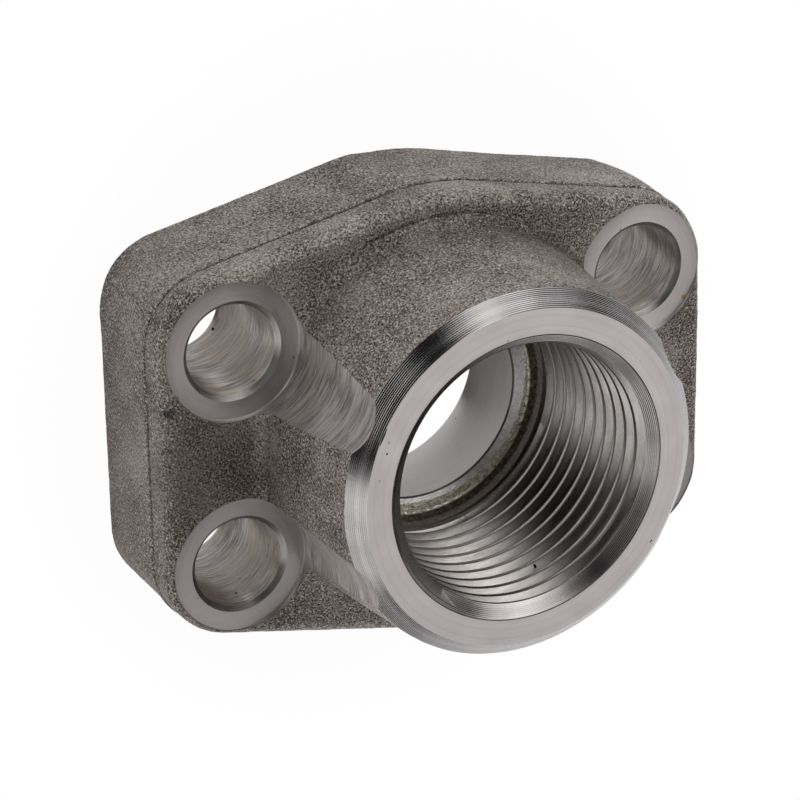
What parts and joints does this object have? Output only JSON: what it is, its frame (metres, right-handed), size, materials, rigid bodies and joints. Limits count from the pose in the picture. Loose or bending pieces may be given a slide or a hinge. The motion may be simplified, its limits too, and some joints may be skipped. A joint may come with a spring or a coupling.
{
  "type": "hydraulic flange",
  "caption": "One-piece forged four-bolt hydraulic flange with an internally threaded port boss, faced screw seats and an O-ring groove in its flat sealing face.",
  "frame": {"origin": "middle of the flat sealing face, on the axis of the bore", "axes": "+Z along the bore from the sealing face to the threaded end face, +X along the longer spacing of the bolt holes, +Y along the shorter one"},
  "size_m": [0.0708, 0.055, 0.037],
  "materials": {
    "forged_steel": "dark shot-blasted forged skin, with bright turned, drilled and spotfaced surfaces"
  },
  "bodies": {
    "root": {"flange_body": "forged_steel"}
  },
  "joints": []
}
